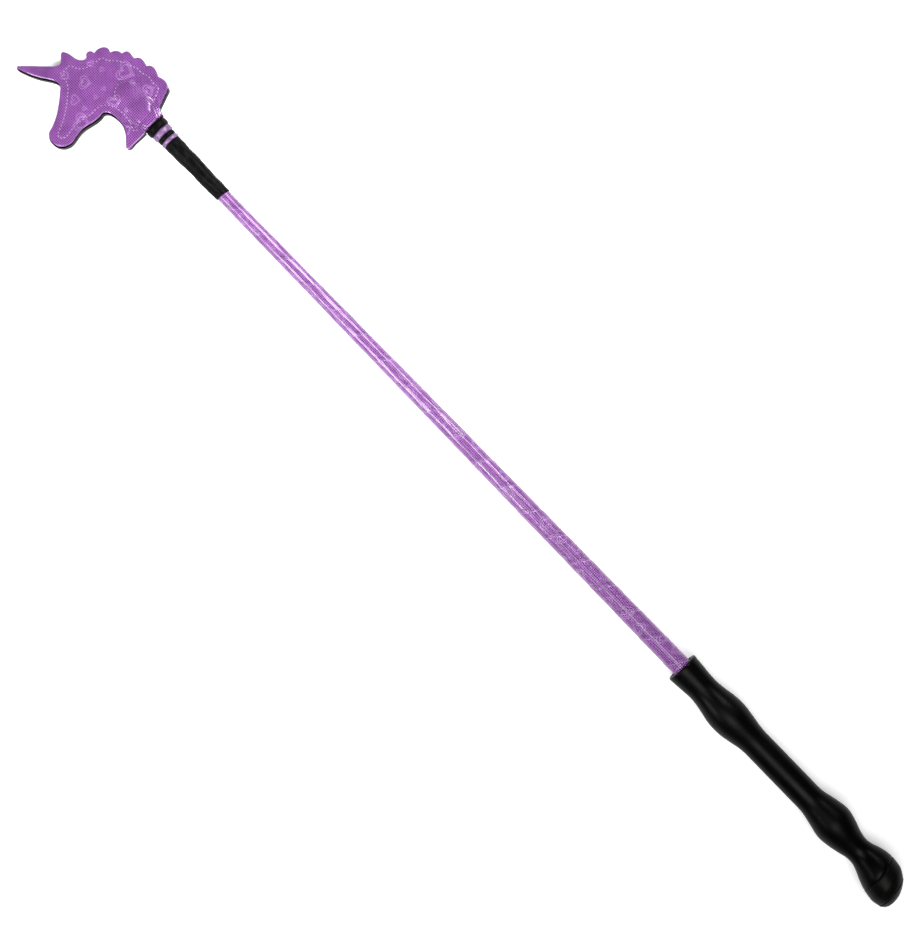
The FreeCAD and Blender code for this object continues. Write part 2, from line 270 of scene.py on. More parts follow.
def bumped(material, height, depth_mm, onto=None):
    """Raises the surface where height is high, on top of an earlier bump."""
    inputs = {"Height": height, "Distance": depth_mm * MM, "Strength": 1.0}
    if onto:
        inputs["Normal"] = onto
    return node(material, "Bump", inputs).outputs["Normal"]


# %% [markdown]
# ## Table and light
#
# The table is a plain white sheet that glows a little, like a light table, so that it stays clean behind a
# black grip.  Two narrow panels, one on each side of the shaft, draw the two bright lines that run along the
# wound strip, and leave its middle darker.  A broad panel high over the grip gives the rubber one soft
# highlight.  The world adds a little light so that black parts keep their shape.

# %% Table
TABLE_SIZE = 4.0
TABLE_WHITE = (0.86, 0.86, 0.86, 1)
TABLE_GLOW = 0.42

nothing_selected()
bpy.ops.mesh.primitive_plane_add(size=TABLE_SIZE, location=(CAMERA_PLACE[0], 0, cad_low.z))
table = bpy.context.object
table.name = "table"
white = finish("table_white", Base_Color=TABLE_WHITE, Roughness=0.9)
white_shader = white.node_tree.nodes["Principled BSDF"]
white_shader.inputs["Emission Color"].default_value = (1, 1, 1, 1)
white_shader.inputs["Emission Strength"].default_value = TABLE_GLOW
table.data.materials.append(white)

# %% Lights


def panel(name, place, size, watts, towards):
    """A rectangular light at a place, facing a point."""
    light = bpy.data.objects.new(name, bpy.data.lights.new(name, "AREA"))
    bpy.context.scene.collection.objects.link(light)
    light.data.shape = "RECTANGLE"
    light.data.size, light.data.size_y = size
    light.data.energy = watts
    light.location = place
    light.rotation_euler = (Vector(place) - Vector(towards)).to_track_quat("Z", "X").to_euler()
    return light


STRIP_MIDDLE_X, STRIP_ASIDE, STRIP_HEIGHT = 0.41, 0.585, 0.545
STRIP_SIZE, STRIP_WATTS = (0.20, 0.46), 1.15
STRIP_SPREAD = math.radians(60)
HAND_PLACE, HAND_TARGET = (-0.34, 0.20, 1.5), (-0.02, 0, 0)
HAND_SIZE, HAND_WATTS = (0.75, 0.90), 16.0
WORLD_STRENGTH = 0.03

for side in (-1, 1):
    place = (STRIP_MIDDLE_X, side * STRIP_ASIDE, STRIP_HEIGHT)
    strip = panel("strip_light", place, STRIP_SIZE, STRIP_WATTS, (STRIP_MIDDLE_X, 0, 0))
    strip.data.spread = STRIP_SPREAD
panel("hand_light", HAND_PLACE, HAND_SIZE, HAND_WATTS, HAND_TARGET)
world = bpy.data.worlds.new("studio")
bpy.context.scene.world = world
world.use_nodes = True
world.node_tree.nodes["Background"].inputs["Color"].default_value = (1, 1, 1, 1)
world.node_tree.nodes["Background"].inputs["Strength"].default_value = WORLD_STRENGTH

# %% [markdown]
# ## Finish: rubber
#
# The grip and its cap are moulded in black rubber.  Rubber isn't a perfect black: it has a very fine grain
# from the mould, and handling leaves it a little smoother in some places than in others, which shows in the
# edges of its highlights.  So the colour is nearly flat, and the roughness and two fine bumps do the work.

# %% Rubber


def rubber(name, base, roughness, warmth):
    """Moulded black rubber, with fine grain and a slightly uneven polish."""
    material = finish(name, Specular_IOR_Level=0.07)
    place = own_place(material)
    worn = cloudy(material, place, 14.0, 5.0)
    dusty = cloudy(material, place, 1.6, 4.0, 0.7)
    colour = blended(material, spread(material, dusty, 0.52, 0.78, 0.0, 1.0), base, warmth)
    into_shader(material, "Base Color", colour)
    into_shader(material, "Roughness", spread(material, worn, 0.3, 0.7, roughness - 0.05, roughness + 0.07))
    soft = bumped(material, cloudy(material, place, 9.0, 2.0), 0.10)
    into_shader(material, "Normal", bumped(material, cloudy(material, place, 0.35, 3.0), 0.012, soft))
    return material


grip_rubber = rubber("grip_rubber", (0.0003, 0.0003, 0.0003), 0.37, (0.0014, 0.0014, 0.0014))
cap_rubber = rubber("cap_rubber", (0.0020, 0.0019, 0.0017), 0.40, (0.0050, 0.0048, 0.0042))

# %% [markdown]
# ## A loft by hand
#
# A grip, a cap and a sleeve are rows of circles along the shaft.  A modeller starts with one filled circle,
# extrudes it to the next place, scales it there and leans it, again and again.  A few circles are chosen, and
# a curve through them gives the ones between, so that the swells stay round and even.

# %% Stations


def between(before, start, end, after, t):
    """A point of the curve from start to end, in line with its neighbours on both sides."""
    return 0.5 * (
        2 * start + (end - before) * t + (2 * before - 5 * start + 4 * end - after) * t**2
        + (3 * start - before - 3 * end + after) * t**3
    )


def finer(stations, step):
    """More stations on a smooth curve through the given ones, about step millimetres apart."""
    result, last = [], len(stations) - 1
    for i in range(last):
        four = [stations[min(max(i + k, 0), last)] for k in (-1, 0, 1, 2)]
        count = max(1, round(abs(four[2][0] - four[1][0]) / step))
        for k in range(count):
            result.append(tuple(between(*numbers, k / count) for numbers in zip(*four)))
    return result + [stations[last]]


def loft(name, stations, sides):
    """Extrudes a filled circle from station to station: x, y and radius in millimetres, lean in degrees."""
    nothing_selected()
    x, y, radius, lean = stations[0]
    bpy.ops.mesh.primitive_circle_add(
        vertices=sides, radius=radius * MM, fill_type="NGON", location=(x * MM, y * MM, 0),
        rotation=(0, math.pi / 2, math.radians(lean)),
    )
    piece = bpy.context.object
    piece.name = name
    settle()
    edit(piece)
    bpy.ops.mesh.select_mode(type="FACE")
    for (x0, y0, r0, lean0), (x1, y1, r1, lean1) in zip(stations, stations[1:]):
        centre = (x1 * MM, y1 * MM, 0)
        step = ((x1 - x0) * MM, (y1 - y0) * MM, 0)
        bpy.ops.mesh.extrude_region_move(TRANSFORM_OT_translate={"value": step})
        bpy.ops.transform.resize(value=(r1 / r0,) * 3, center_override=centre)
        if lean1 != lean0:
            turn = math.radians(lean0 - lean1)
            bpy.ops.transform.rotate(value=turn, orient_axis="Z", center_override=centre)
    bpy.ops.object.mode_set(mode="OBJECT")
    return piece


# %% [markdown]
# ## The grip
#
# The grip is one moulding with two swells for the hand, a flared mouth that the shaft comes out of, and a
# neck that leans over to the cap.  It is lofted from the joint with the cap to the mouth.  At the mouth the
# last circles shrink and turn back inside, which leaves a rounded lip round the shaft, and at the joint the
# first ones step in to leave half of a fine groove.

# %% Grip
GRIP_STATIONS = [
    (-76, 1.47, 11.85, 6.5), (-71.5, 0.85, 10.75, 4.8), (-67, 0.33, 9.15, 3.2), (-63, 0.31, 7.74, 2),
    (-58.5, 0.6, 7.35, 1), (-53, 0.8, 8.5, 0), (-46.5, 0.4, 10.3, 0), (-39.5, 0, 11.25, 0),
    (-31.5, -0.2, 9.8, 0), (-24.5, -0.1, 8.3, 0), (-20, 0, 8, 0), (-15, 0, 8, 0),
    (-8, 0, 8, 0), (0, 0, 8, 0), (8, 0, 8, 0), (15, 0, 8, 0), (20, 0, 8, 0),
    (24.5, 0.1, 8.35, 0), (30.5, 0.3, 9.45, 0), (36, 0.4, 10.35, 0), (41, 0.4, 10.65, 0),
    (46.5, 0.4, 10.3, 0), (52, 0.3, 9.3, 0), (57.5, 0.15, 8.45, 0), (62.5, 0, 8.3, 0), (69, 0, 8.8, 0),
    (76.2, 0, 9.35, 0),
]
JOINT_GROOVE = [(-75.85, 1.45, 11.3, 6.5), (-75.75, 1.44, 11.65, 6.5)]
MOUTH_LIP = [(76.8, 0, 9.38, 0), (77.2, 0, 9.22, 0), (77.4, 0, 8.85, 0), (77.4, 0, 7.4, 0),
             (77.1, 0, 6.75, 0), (76.2, 0, 6.45, 0), (70.0, 0, 6.4, 0)]
JOINT_LEAD = (-75.3, 1.38, 11.76, 6.5)
LEAD_ROOM = 0.5
GRIP_STEP = 1.5
RUBBER_SIDES, RUBBER_SHARP = 72, 45

row = finer(GRIP_STATIONS, GRIP_STEP)
inner = [station for station in row if station[0] > JOINT_LEAD[0] + LEAD_ROOM]
grip = loft("rubber_grip", JOINT_GROOVE + [JOINT_LEAD] + inner + MOUTH_LIP, RUBBER_SIDES)
grip.data.materials.append(grip_rubber)
close_up(grip, RUBBER_SHARP)
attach(grip, CROP)
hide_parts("grip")

# %% [markdown]
# ## The cap
#
# The cap closes the grip's end.  Its circles all lean by the same angle and drift sideways, so it looks over
# its shoulder.  It starts a little smaller than the grip, which makes the other half of the joint's groove.
# A finer groove runs round it near the end, where its last disc is bonded on, and a flat face with a shallow
# seat for the badge closes it.

# %% Cap
CAP_LEAN = 6.5
CAP_START = [(-76.1, 1.48, 11.2), (-76.2, 1.49, 11.65), (-76.5, 1.52, 11.82)]
CAP_BODY = [(-76.9, 1.57, 11.95), (-78.2, 1.75, 12.05), (-80.7, 2.05, 12.1), (-83.2, 2.4, 12.0),
            (-85.7, 2.8, 11.2), (-87.7, 3.28, 10.3)]
RIM_GROOVE = [(-87.85, 3.32, 10.05), (-88.0, 3.36, 9.6), (-88.2, 3.4, 9.6), (-88.35, 3.44, 9.95)]
END_DISC = [(-88.5, 3.5, 10.0), (-90.2, 4.05, 8.3), (-91.2, 4.4, 6.95), (-91.8, 4.56, 5.95)]
CAP_SEAT = [(-91.95, 4.6, 5.5), (-91.9, 4.6, 5.05), (-91.5, 4.65, 4.9)]
CAP_STEP, DISC_STEP = 0.8, 0.5


def leaning(circles):
    """The circles as stations, all with the cap's lean."""
    return [(x, y, radius, CAP_LEAN) for x, y, radius in circles]


cap_row = leaning(CAP_START) + finer(leaning(CAP_BODY), CAP_STEP) + leaning(RIM_GROOVE)
cap_row += finer(leaning(END_DISC), DISC_STEP) + leaning(CAP_SEAT)
cap = loft("pommel_cap", cap_row, RUBBER_SIDES)
cap.data.materials.append(cap_rubber)
close_up(cap, RUBBER_SHARP)
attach(cap, CROP)
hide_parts("end_cap")

# %% [markdown]
# ## The wound strip
#
# The shaft is covered with one narrow strip of embossed leathercloth, wound on like tape so that each turn
# laps over the last.  A tape like that is a small section carried round a screw.  So its section is drawn
# with one point, extruded along, and the Screw modifier winds it: one turn for every pitch.  The section's
# corners are a share of the pitch along the shaft, and a height in millimetres above the rear radius.  A
# Taper then brings the straight winding down to the thin end of the shaft, and two cuts trim its ends.

# %% Section of the strip
SOFT_SHARP = 50
wrap_low, wrap_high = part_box("spiral_wrap")
WRAP_REAR, WRAP_FRONT = wrap_low.x / MM, wrap_high.x / MM
REAR_RADIUS, FRONT_RADIUS = 6.0, 3.77
WRAP_LENGTH = WRAP_FRONT - WRAP_REAR
PITCH = 18.9
WINDING_SIDES = 64
SPARE_TURNS = 2
STRIP_SECTION = [
    (-0.08, -0.30), (0.0, -0.20), (0.04, -0.17), (0.12, -0.145), (0.25, -0.12), (0.38, -0.11),
    (0.50, -0.09), (0.62, -0.07), (0.74, -0.05), (0.85, -0.03), (0.93, -0.01), (0.975, 0.01),
    (0.995, -0.03), (1.0, -0.10), (0.99, -0.30), (0.92, -0.42), (0.75, -0.46), (0.5, -0.5), (0.25, -0.55),
    (-0.08, -0.62),
]

nothing_selected()
bpy.ops.mesh.primitive_plane_add(size=MM, location=(WRAP_REAR * MM, 0, 0))
wrap = bpy.context.object
wrap.name = "shaft_wrap"
edit(wrap)
bpy.ops.mesh.select_mode(type="VERT")
bpy.ops.mesh.merge(type="CENTER")
pen_x, pen_z = 0.0, 0.0
for fraction, rise in STRIP_SECTION:
    x, z = (fraction - 1.0) * PITCH, REAR_RADIUS + rise
    stroke = ((x - pen_x) * MM, 0, (z - pen_z) * MM)
    if (pen_x, pen_z) == (0.0, 0.0):
        bpy.ops.transform.translate(value=stroke)
    else:
        bpy.ops.mesh.extrude_vertices_move(TRANSFORM_OT_translate={"value": stroke})
    pen_x, pen_z = x, z
bpy.ops.object.mode_set(mode="OBJECT")
for i, point in enumerate(wrap.data.vertices):
    point.select = i in (0, len(STRIP_SECTION) - 1)
bpy.ops.object.mode_set(mode="EDIT")
bpy.ops.mesh.edge_face_add()
bpy.ops.object.mode_set(mode="OBJECT")

# %% Winding
turns = math.ceil(WRAP_LENGTH / PITCH) + SPARE_TURNS
screw = wrap.modifiers.new("winding", "SCREW")
screw.axis = "X"
screw.angle = -math.tau
screw.screw_offset = PITCH * MM
screw.iterations = turns
screw.steps = screw.render_steps = WINDING_SIDES
take(wrap)
bpy.ops.object.modifier_apply(modifier=screw.name)
wound = points_of(wrap)

# %% [markdown]
# The strip was pulled tight over a padded shaft, so it has long fine creases.  They are pushed in here point
# by point, by noise that is long along the shaft and short round it.  The cloth's pattern needs a place that
# doesn't jump, so each point also carries how far it is along and round the winding and across the strip.

# %% Creases
CREASE_LENGTH, CREASE_WIDTH, CREASE_DEPTH = 16.0, 1.5, 0.22
CREASES_START, CREASES_FADE, FADED_SHARE = (90, 150), (330, 390), 0.5
OUTER_SKIN, STRIP_SINK = 0.33, 0.05
MEAN_RADIUS_SHARE = 0.8

section_count = len(STRIP_SECTION)
step_number = np.arange(len(wound)) // section_count
round_place = step_number * math.tau / WINDING_SIDES * REAR_RADIUS * MEAN_RADIUS_SHARE
along = wound[:, 0] / MM
depth = np.zeros(len(wound))
for i in range(len(wound)):
    spot = Vector((along[i] / CREASE_LENGTH, round_place[i] / CREASE_WIDTH, 0.0))
    depth[i] = noise.noise(spot)
tightness = smoothstep(*CREASES_START, along) * (1 - FADED_SHARE * smoothstep(*CREASES_FADE, along))
radius = np.hypot(wound[:, 1], wound[:, 2])
outer = radius > (REAR_RADIUS - OUTER_SKIN) * MM
push = np.where(outer, 1 + (CREASE_DEPTH * depth * tightness - STRIP_SINK) * MM / radius, 1)
wound[:, 1] *= push
wound[:, 2] *= push
move_points(wrap, wound)
carried = wrap.data.attributes.new("strip_place", "FLOAT_VECTOR", "POINT")
across = np.tile([fraction for fraction, _ in STRIP_SECTION], len(wound) // section_count)
places = np.stack([along * MM, round_place * MM, across], axis=1)
carried.data.foreach_set("vector", places.ravel())

# %% Taper and trimmed ends
END_TRIM = 0.3

taper = wrap.modifiers.new("taper", "SIMPLE_DEFORM")
taper.deform_method = "TAPER"
taper.deform_axis = "X"
span = (wound[:, 0].max() - wound[:, 0].min()) / MM
taper.factor = (FRONT_RADIUS / REAR_RADIUS - 1) * span / WRAP_LENGTH
bpy.ops.object.modifier_apply(modifier=taper.name)
settle()
edit(wrap)
for cut_x, forward in ((WRAP_REAR + END_TRIM, -1), (WRAP_FRONT - END_TRIM, 1)):
    bpy.ops.mesh.select_all(action="SELECT")
    bpy.ops.mesh.bisect(
        plane_co=(cut_x * MM, 0, 0), plane_no=(forward, 0, 0), use_fill=True, clear_outer=True
    )
close_up(wrap, SOFT_SHARP)

# %% [markdown]
# ## Finish: embossed leathercloth
#
# The strip and the flapper's face are the same pearly lilac cloth.  It has a fine square weave pressed into
# it, and hearts in thin raised lines.  On the narrow strip the hearts are drawn by the finish: a pattern of
# cells gives each heart a place and a turn, and a short formula draws its outline.  The weave is two waves
# crossing, deep enough to sparkle and too small to model.  Its holes get painted shade, and the heart lines a
# painted highlight.  On the strip, each lap gets a pale edge line that is partly a painted highlight, with a
# painted shadow beside it.

# %% Embossed cloth
LILAC = (0.36, 0.108, 0.46)
LILAC_DEEP = (0.018, 0.005, 0.036)
LILAC_PALE = (0.50, 0.28, 0.61)
LILAC_SHADE = (0.03, 0.009, 0.05)
WEAVE_MM = 1.05
LARGE_HEARTS, SMALL_HEARTS = (11.0, 0.26), (6.3, 0.17)
SMALL_HEARTS_OFFSET = (0.31, 0.17, 0)
HEART_INNER = 0.38


def weave(material, place, pitch_mm):
    """A square weave: high between the holes."""
    turned = stretched(material, place, (math.tau / (pitch_mm * MM),) * 3)
    parts = node(material, "SeparateXYZ", {0: turned})
    across = arithmetic(material, "COSINE", parts.outputs["X"])
    along_it = arithmetic(material, "COSINE", parts.outputs["Y"])
    holes = arithmetic(material, "MULTIPLY", arithmetic(material, "ADD", across, 1.0),
                       arithmetic(material, "ADD", along_it, 1.0))
    return arithmetic(material, "DIVIDE", holes, 4.0)


def heart_lines(material, place, spacing_mm, size):
    """1 on the double outlines of hearts that lie scattered at a spacing, else 0."""
    scaled = stretched(material, place, (1000.0 / spacing_mm,) * 3)
    cells = node(material, "TexVoronoi", {"Vector": scaled, "Scale": 1.0, "Randomness": 0.45},
                 voronoi_dimensions="2D")
    offset = node(material, "VectorMath", {0: scaled, 1: cells.outputs["Position"]}, operation="SUBTRACT")
    shade = node(material, "SeparateXYZ", {0: cells.outputs["Color"]})
    turn = arithmetic(material, "MULTIPLY", shade.outputs["X"], math.tau)
    turned = node(material, "VectorRotate", {"Vector": offset.outputs[0], "Angle": turn},
                  rotation_type="Z_AXIS")
    parts = node(material, "SeparateXYZ", {0: stretched(material, turned.outputs[0], (1 / size,) * 3)})
    x = arithmetic(material, "ABSOLUTE", parts.outputs["X"])
    y = parts.outputs["Y"]
    squares = arithmetic(material, "ADD", arithmetic(material, "MULTIPLY", x, x),
                         arithmetic(material, "MULTIPLY", y, y))
    lobes = arithmetic(material, "MULTIPLY", arithmetic(material, "POWER", x, 0.667), y)
    level = arithmetic(material, "SUBTRACT", squares, lobes)
    ring_level = arithmetic(material, "ABSOLUTE", arithmetic(material, "SUBTRACT", level, 1.0))
    inner = arithmetic(material, "ABSOLUTE", arithmetic(material, "SUBTRACT", level, HEART_INNER))
    nearest = arithmetic(material, "MINIMUM", ring_level, arithmetic(material, "MULTIPLY", inner, 1.6))
    return spread(material, nearest, 0.10, 0.30, 1.0, 0.0)


def embossed_cloth(name, attribute, lines=None):
    """Pearly lilac cloth, with painted shade in its weave holes and a painted highlight on its heart lines.
    Its hearts come from a second attribute, lines, or are drawn by the finish.
    """
    material = finish(name, Metallic=0.25, Specular_IOR_Level=0.35, Coat_Weight=0.5, Coat_IOR=1.6,
                      Coat_Roughness=0.25)
    place = own_place(material, attribute)
    holes = spread(material, weave(material, place, WEAVE_MM), 0.08, 0.50, 0.0, 1.0)
    mottle = cloudy(material, place, 7.0, 4.0)
    if lines:
        drawn = node(material, "Attribute", attribute_name=lines).outputs["Fac"]
        line_highlight = 0.42
    else:
        shifted = node(material, "VectorMath", {0: place, 1: SMALL_HEARTS_OFFSET}, operation="ADD").outputs[0]
        large = heart_lines(material, place, *LARGE_HEARTS)
        small = heart_lines(material, shifted, *SMALL_HEARTS)
        drawn = arithmetic(material, "MAXIMUM", large, arithmetic(material, "MULTIPLY", small, 0.6))
        line_highlight = 0.45
    base = blended(material, spread(material, mottle, 0.35, 0.7, 0.0, 0.35), LILAC, LILAC_DEEP)
    # The weave's holes are blended towards LILAC_DEEP: painted shade in the recesses.
    shaded_holes = blended(material, holes, base, LILAC_DEEP)
    # The heart lines are blended towards LILAC_PALE: a painted highlight on their raised smooth lines.
    lined = blended(material, arithmetic(material, "MULTIPLY", drawn, line_highlight), shaded_holes, LILAC_PALE)
    if not lines:
        # Along each lap of the strip: a pale line at its cut edge, partly the edge's own paler colour and
        # partly a painted highlight, and a painted shadow in LILAC_SHADE at the foot of the step beside it.
        across = node(material, "SeparateXYZ", {0: place}).outputs["Z"]
        edge = spread(material, across, 0.972, 0.985, 0.0, 0.6)
        shadow = spread(material, across, 0.0, 0.02, 0.7, 0.0)
        lined = blended(material, shadow, blended(material, edge, lined, LILAC_PALE), LILAC_SHADE)
    into_shader(material, "Base Color", lined)
    into_shader(material, "Roughness", spread(material, mottle, 0.3, 0.7, 0.28, 0.42))
    relief = arithmetic(material, "SUBTRACT", arithmetic(material, "MULTIPLY", drawn, 1.2), holes)
    fine = bumped(material, relief, 0.16)
    into_shader(material, "Normal", bumped(material, cloudy(material, place, 2.2, 4.0), 0.12, fine))
    return material


wrap.data.materials.append(embossed_cloth("strip_cloth", "strip_place"))
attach(wrap, CROP)
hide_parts("spiral_wrap")

# %% [markdown]
# ## Finish: black leather and metallic foil
#
# The sleeve over the binding, the bands and the flapper's backing are black leather.  Its grain is a mesh of
# small rounded cells, so it is made with a cell pattern for the creases and soft noise for the colour, and
# the high spots are a little more polished.  The two rings are thin lilac foil with a dull shine, and its
# fine crumples break up the reflection.

# %% Leather and foil


def black_leather(name, grain_mm, attribute=None, gloss=0.40):
    """Black leather with a grain of small cells."""
    material = finish(name, Specular_IOR_Level=0.04)
    place = own_place(material, attribute)
    cells = node(material, "TexVoronoi", {"Vector": place, "Scale": 1000.0 / grain_mm}, feature="SMOOTH_F1")
    bent = cloudy(material, place, 3.0, 4.0)
    high = spread(material, cells.outputs["Distance"], 0.2, 0.8, 1.0, 0.0)
    colour = blended(material, spread(material, bent, 0.45, 0.75, 0.0, 1.0),
                     (0.0014, 0.0014, 0.0016), (0.0065, 0.006, 0.006))
    into_shader(material, "Base Color", colour)
    into_shader(material, "Roughness", spread(material, high, 0.0, 1.0, gloss + 0.12, gloss - 0.04))
    soft = bumped(material, bent, 0.15)
    into_shader(material, "Normal", bumped(material, high, 0.06, soft))
    return material


def foil(name):
    """Crumpled metallic foil."""
    material = finish(name, Metallic=0.4, Specular_IOR_Level=0.3, Coat_Weight=0.1, Coat_Roughness=0.3)
    place = own_place(material)
    crumple = cloudy(material, place, 2.4, 5.0, 0.65)
    colour = blended(material, spread(material, crumple, 0.35, 0.65, 0.0, 1.0), (0.12, 0.06, 0.16),
                     (0.22, 0.13, 0.26))
    into_shader(material, "Base Color", colour)
    into_shader(material, "Roughness", spread(material, crumple, 0.3, 0.7, 0.36, 0.48))
    into_shader(material, "Normal", bumped(material, crumple, 0.25))
    return material


leather = black_leather("sleeve_leather", 0.45)
ring_foil = foil("ring_foil")

# %% [markdown]
# ## The leather sleeve
#
# The sleeve is one piece of soft leather pulled round the binding and glued edge over edge, so a long
# S-shaped lap runs down it and it isn't quite round.  It is lofted like the grip.  Then each point is pushed
# in or out: up over the lap's edge, down in front of it, and a little by soft noise.  The rear end was cut by
# hand and stands slightly askew.

# %% Sleeve
SLEEVE_REAR, SLEEVE_FRONT = 431.8, 471.8
SLEEVE_STATIONS = [
    (SLEEVE_FRONT, 0, 4.5, 0), (471.75, 0, 4.95, 0), (471.4, 0, 5.1, 0), (466, 0.05, 5.05, 0),
    (461, 0.05, 4.95, 0), (456, -0.1, 4.8, 0), (451, -0.1, 4.65, 0), (446, 0.05, 4.55, 0),
    (441, 0.1, 4.5, 0), (436, 0, 4.45, 0), (432.4, 0, 4.42, 0), (431.95, 0, 4.3, 0),
    (SLEEVE_REAR, 0, 4.0, 0),
]
SLEEVE_STEP, SLEEVE_SIDES = 0.8, 96
LAP_RISE, LAP_FALL, LAP_GROOVE, GROOVE_WIDTH = 0.30, 0.9, 0.16, 0.10
LAP_START, LAP_SWING, LAP_WAVE, LAP_ORIGIN = 0.15, 0.40, 46.0, 431
SOFT_HEIGHT, SOFT_SIZE, SLEEVE_SINK = 0.28, 4.0, 0.12
CUT_SLANT, CUT_RADIUS, CUT_REACH = 0.55, 4.4, 440

sleeve = loft("leather_sleeve", finer(SLEEVE_STATIONS, SLEEVE_STEP), SLEEVE_SIDES)
take(sleeve)
shape = points_of(sleeve) / MM
round_angle = np.arctan2(shape[:, 1], shape[:, 2])
lap = LAP_START + LAP_SWING * np.sin((shape[:, 0] - LAP_ORIGIN) * math.tau / LAP_WAVE)
past = round_angle - lap
rise = np.where(past > 0, LAP_RISE * np.exp(-past / LAP_FALL), 0)
rise = rise - LAP_GROOVE * np.exp(-((past / GROOVE_WIDTH) ** 2))
soft = np.array([noise.noise(Vector(p) / SOFT_SIZE) for p in shape])
radius = np.hypot(shape[:, 1], shape[:, 2])
inside_ends = smoothstep(SLEEVE_REAR, 433.5, shape[:, 0]) * (1 - smoothstep(470, SLEEVE_FRONT, shape[:, 0]))
grow = 1 + ((rise + SOFT_HEIGHT * soft) * inside_ends - SLEEVE_SINK) / np.maximum(radius, 1)
shape[:, 1] *= grow
shape[:, 2] *= grow
near_cut = 1 - smoothstep(SLEEVE_REAR, CUT_REACH, shape[:, 0])
shape[:, 0] += CUT_SLANT * shape[:, 1] / CUT_RADIUS * near_cut
move_points(sleeve, shape * MM)
sleeve.data.materials.append(leather)
close_up(sleeve, SOFT_SHARP)
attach(sleeve, CROP)
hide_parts("binding_sleeve")

# %% [markdown]
# ## The flapper's layers
#
# The flapper is cut like a biscuit: one die gives the same outline in the embossed face, the filler and the
# black backing.  The CAD backing has that outline, so a copy of it is turned level and reduced to its one
# flat face.  Extruded, that face is the die.  A sheet of fine squares intersected with the die gives a layer
# with a clean edge and enough points to be pressed, padded and sewn.

# %% Outline
FACING_UP, FLAT_UP = 0.9, 0.99
DIE_DEPTH = 12.0
SAME_PLANE = math.radians(1)

backing_node = bpy.data.objects["flapper_back"]
up = sum((f.normal * f.area for f in backing_node.data.polygons if f.normal.z > FACING_UP), Vector())
DROOP = math.atan2(up.x, up.z)

die = bpy.data.objects.new("die", backing_node.data.copy())
bpy.context.scene.collection.objects.link(die)
edit(die)
bpy.ops.mesh.remove_doubles(threshold=JOIN_MM * MM)
bpy.ops.transform.rotate(value=DROOP, orient_axis="Y", center_override=HINGE)
bpy.ops.mesh.dissolve_limited(angle_limit=SAME_PLANE)
pick_faces(die, lambda face: face.normal.z > FLAT_UP)
bpy.ops.mesh.select_all(action="INVERT")
bpy.ops.mesh.delete(type="FACE")
bpy.ops.object.mode_set(mode="OBJECT")
largest = max(die.data.polygons, key=lambda face: face.area)
outline = np.array([die.data.vertices[i].co - HINGE for i in largest.vertices])[:, :2] / MM
print("droop", round(math.degrees(DROOP), 2), "faces", len(die.data.polygons), "outline", len(outline))
edit(die)
bpy.ops.transform.translate(value=(0, 0, -DIE_DEPTH / 2 * MM))
bpy.ops.mesh.extrude_region_move(TRANSFORM_OT_translate={"value": (0, 0, DIE_DEPTH * MM)})
bpy.ops.mesh.select_all(action="SELECT")
bpy.ops.mesh.normals_make_consistent(inside=False)
bpy.ops.object.mode_set(mode="OBJECT")

# %% Cutting a layer
SHEET_MARGIN = 4
CUT_JOIN_MM = 0.004


def die_cut(name, low, high, square_mm):
    """A sheet from height low to high, cut with the die, on a grid of squares."""
    size = outline.max(axis=0) - outline.min(axis=0) + SHEET_MARGIN
    centre = (outline.max(axis=0) + outline.min(axis=0)) / 2
    nothing_selected()
    bpy.ops.mesh.primitive_grid_add(
        x_subdivisions=round(size[0] / square_mm), y_subdivisions=round(size[1] / square_mm), size=MM,
        location=(HINGE.x + centre[0] * MM, centre[1] * MM, low * MM),
    )
    layer = bpy.context.object
    layer.name = name
    layer.scale = (size[0], size[1], 1)
    settle()
    edit(layer)
    bpy.ops.mesh.extrude_region_move(TRANSFORM_OT_translate={"value": (0, 0, (high - low) * MM)})
    bpy.ops.mesh.select_all(action="SELECT")
    bpy.ops.mesh.normals_make_consistent(inside=False)
    bpy.ops.object.mode_set(mode="OBJECT")
    cut = layer.modifiers.new("cut", "BOOLEAN")
    cut.operation = "INTERSECT"
    cut.solver = "EXACT"
    cut.object = die
    bpy.ops.object.modifier_apply(modifier=cut.name)
    edit(layer)
    bpy.ops.mesh.remove_doubles(threshold=CUT_JOIN_MM * MM)
    bpy.ops.object.mode_set(mode="OBJECT")
    return layer


FACE_LOW, FACE_HIGH = 1.6, 2.5
BACK_LOW, BACK_HIGH = -2.5, -1.0
FACE_SQUARE, PAD_SQUARE, LINING_SQUARE = 0.38, 1.2, 0.8
face = die_cut("flapper_face", FACE_LOW, FACE_HIGH, FACE_SQUARE)
pad = die_cut("flapper_pad", BACK_HIGH, FACE_LOW, PAD_SQUARE)
lining = die_cut("flapper_lining", BACK_LOW, BACK_HIGH, LINING_SQUARE)

# %% [markdown]
# ## Pressing and padding the face
#
# The face isn't flat.  It swells over the tongue that holds the flapper to the shaft, gathers in furrows
# where the band squeezes it, dips along the seam and rolls over at its rim.  Hearts in thin raised lines are
# pressed into it.  Each of these is a small height that depends on the distance to a line, so the helpers
# measure distances, and one function adds the heights up.

# %% Distances


def distance_to_line(points, line, closed=False):
    """From each point to the nearest place on a line of many corners, in millimetres."""
    starts = line
    ends = np.roll(line, -1, axis=0) if closed else line[1:]
    nearest = np.full(len(points), 1e9)
    for start, end in zip(starts, ends):
        run = end - start
        t = np.clip(((points - start) @ run) / max(run @ run, 1e-9), 0, 1)
        nearest = np.minimum(nearest, np.linalg.norm(points - start - t[:, None] * run, axis=1))
    return nearest


